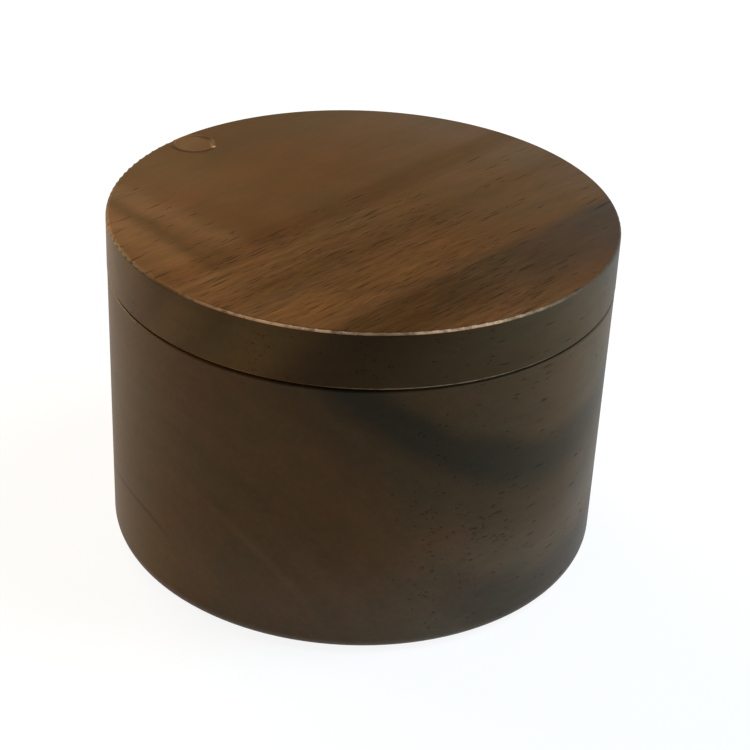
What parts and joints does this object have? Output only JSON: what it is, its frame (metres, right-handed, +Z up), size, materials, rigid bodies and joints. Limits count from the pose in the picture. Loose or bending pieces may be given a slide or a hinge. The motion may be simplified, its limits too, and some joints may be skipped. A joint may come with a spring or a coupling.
{
  "type": "salt and pepper holder",
  "caption": "Round turned wooden box with a flat swivel lid and thumb scoop; an upright divider inside keeps salt and pepper apart.",
  "frame": {"origin": "centre of the flat base", "axes": "+Z up; +Y from the middle towards the swivel pin, so the lid's thumb scoop is towards -Y; X along the wood grain"},
  "size_m": [0.089, 0.089, 0.0622],
  "materials": {
    "body_wood": "satin oiled dark hardwood",
    "lid_wood": "satin oiled dark hardwood",
    "divider_wood": "satin oiled dark hardwood",
    "pin_steel": "ground steel",
    "bush_nylon": "natural nylon",
    "magnet_nickel": "nickel plate"
  },
  "bodies": {
    "box": {"box_body": "body_wood", "divider": "divider_wood", "pivot_bush": "bush_nylon", "pivot_washer": "bush_nylon", "body_magnet": "magnet_nickel"},
    "swivel_lid": {"lid": "lid_wood", "pivot_pin": "pin_steel", "lid_magnet": "magnet_nickel"}
  },
  "joints": [
    {"name": "lid_swivel", "type": "hinge", "parent": "box", "child": "swivel_lid", "pos_m": [0, 0.03905, 0.0516], "axis": [0, 0, 1], "continuous": true}
  ]
}
